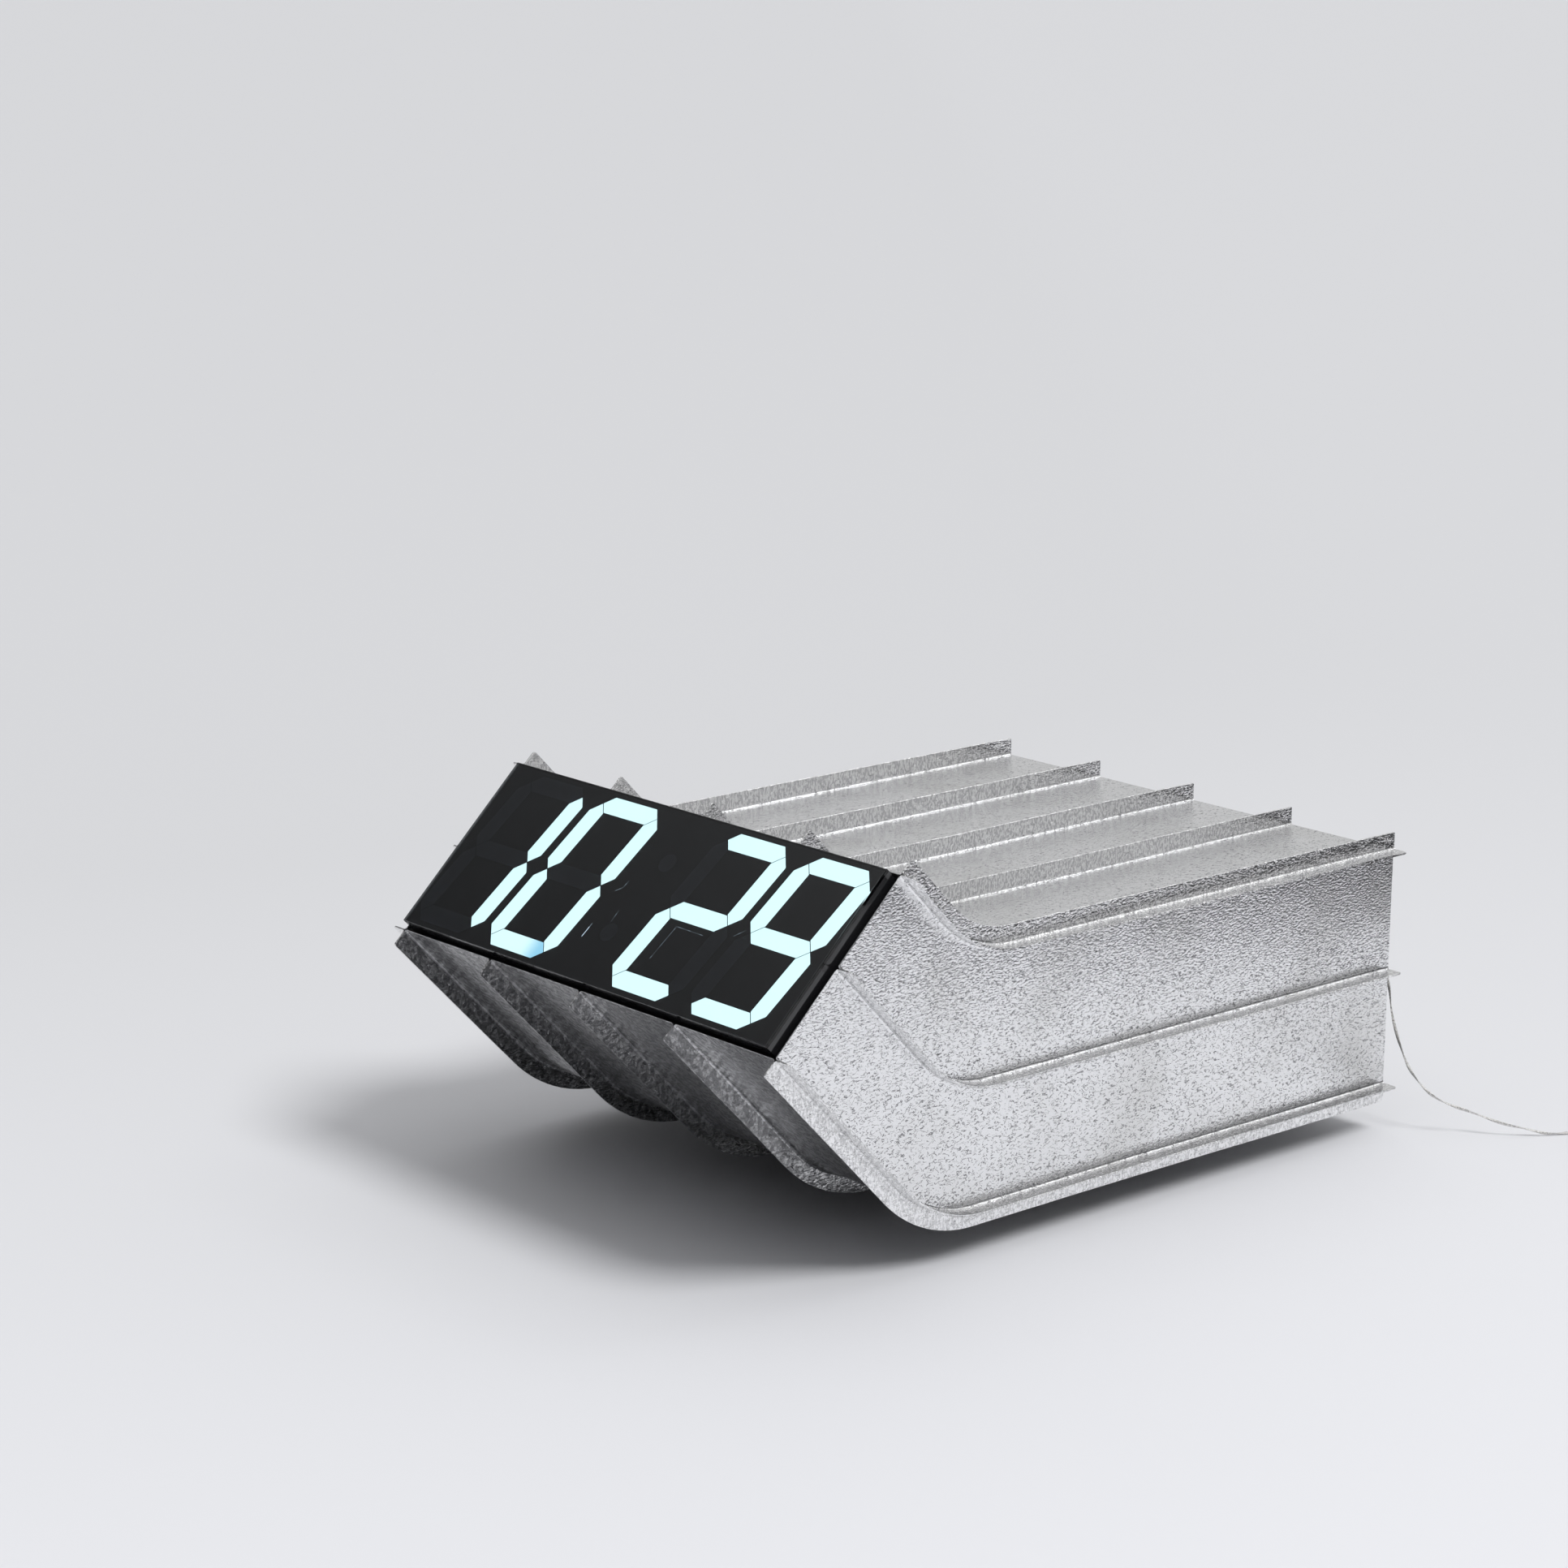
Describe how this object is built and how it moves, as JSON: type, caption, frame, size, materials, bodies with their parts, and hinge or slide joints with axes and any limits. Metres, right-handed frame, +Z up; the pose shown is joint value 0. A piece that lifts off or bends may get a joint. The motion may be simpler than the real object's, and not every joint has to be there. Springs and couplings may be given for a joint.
{
  "type": "digital table clock",
  "caption": "Large digital clock in an elbow of standing-seam stucco aluminium duct, with a segment display, set buttons and a low-voltage cord.",
  "frame": {"origin": "middle of the clock's footprint, on the surface that it stands on", "axes": "+Z up, -Y towards the display, +X to the right for a person who reads the display"},
  "size_m": [0.8596, 1.1042, 0.4326],
  "materials": {
    "stucco_aluminium": "stucco-embossed mill finish",
    "black_steel": "gloss black paint",
    "zinc_steel": "zinc plated",
    "black_screws": "black oxide",
    "black_rubber": "matte",
    "black_plastic": "fine moulded texture",
    "smoked_glass": "smoked, gloss",
    "lit_lens": "glowing cyan white",
    "unlit_lens": "smoked diffuser",
    "white_plastic": "moulded white",
    "circuit_board": "solder mask",
    "steel_cell": "nickel plated",
    "lead_jacket": "flexible jacket",
    "clear_cord": "clear jacket over tinned cores"
  },
  "bodies": {
    "clock": {"base_bolts_and_nuts": "zinc_steel", "base_rail_left": "black_steel", "base_rail_right": "black_steel", "bottom_panel_1": "stucco_aluminium", "bottom_panel_2": "stucco_aluminium", "bottom_panel_3": "stucco_aluminium", "bottom_panel_4": "stucco_aluminium", "bracket_screws": "zinc_steel", "button_switches": "black_plastic", "clock_battery": "steel_cell", "coil_tie": "white_plastic", "colon_lenses": "unlit_lens", "controller_board": "circuit_board", "controller_components": "black_plastic", "controller_spacers_and_screws": "zinc_steel", "cord_sleeve": "clear_cord", "corner_strip_bottom_left": "stucco_aluminium", "corner_strip_bottom_right": "stucco_aluminium", "corner_strip_top_left": "stucco_aluminium", "corner_strip_top_right": "stucco_aluminium", "display_board_components": "black_plastic", "display_brackets": "zinc_steel", "display_housing": "black_steel", "display_lead": "lead_jacket", "front_glass": "smoked_glass", "hour_tens_lit_segments": "lit_lens", "hour_units_lit_segments": "lit_lens", "lead_clips": "white_plastic", "led_board": "circuit_board", "led_chips": "white_plastic", "minute_tens_lit_segments": "lit_lens", "minute_units_lit_segments": "lit_lens", "mouth_gasket": "black_rubber", "plug_barrel": "steel_cell", "plug_body": "black_plastic", "power_cord": "clear_cord", "power_cord_coil": "clear_cord", "power_cord_tail": "clear_cord", "rail_end_caps": "black_plastic", "rear_frame": "black_steel", "rear_panel": "black_steel", "rear_panel_screws": "black_screws", "reflector_frame": "white_plastic", "rubber_feet": "black_rubber", "segment_mask": "black_plastic", "side_panel_lower_left": "stucco_aluminium", "side_panel_lower_right": "stucco_aluminium", "side_panel_upper_left": "stucco_aluminium", "side_panel_upper_right": "stucco_aluminium", "spreader_plates": "zinc_steel", "terminal_wires": "lead_jacket", "top_panel_1": "stucco_aluminium", "top_panel_2": "stucco_aluminium", "top_panel_3": "stucco_aluminium", "top_panel_4": "stucco_aluminium", "unlit_segments": "unlit_lens"},
    "hour_button": {"hour_button": "black_plastic"},
    "minute_button": {"minute_button": "black_plastic"},
    "brightness_button": {"brightness_button": "black_plastic"}
  },
  "joints": [
    {"name": "hour_button_press", "type": "slide", "parent": "clock", "child": "hour_button", "axis": [0, -1, 0], "range_m": [0, 0.0015], "stiffness_N_per_m": 500, "springref_m": -0.002},
    {"name": "minute_button_press", "type": "slide", "parent": "clock", "child": "minute_button", "axis": [0, -1, 0], "range_m": [0, 0.0015], "stiffness_N_per_m": 500, "springref_m": -0.002},
    {"name": "brightness_button_press", "type": "slide", "parent": "clock", "child": "brightness_button", "axis": [0, -1, 0], "range_m": [0, 0.0015], "stiffness_N_per_m": 500, "springref_m": -0.002}
  ]
}
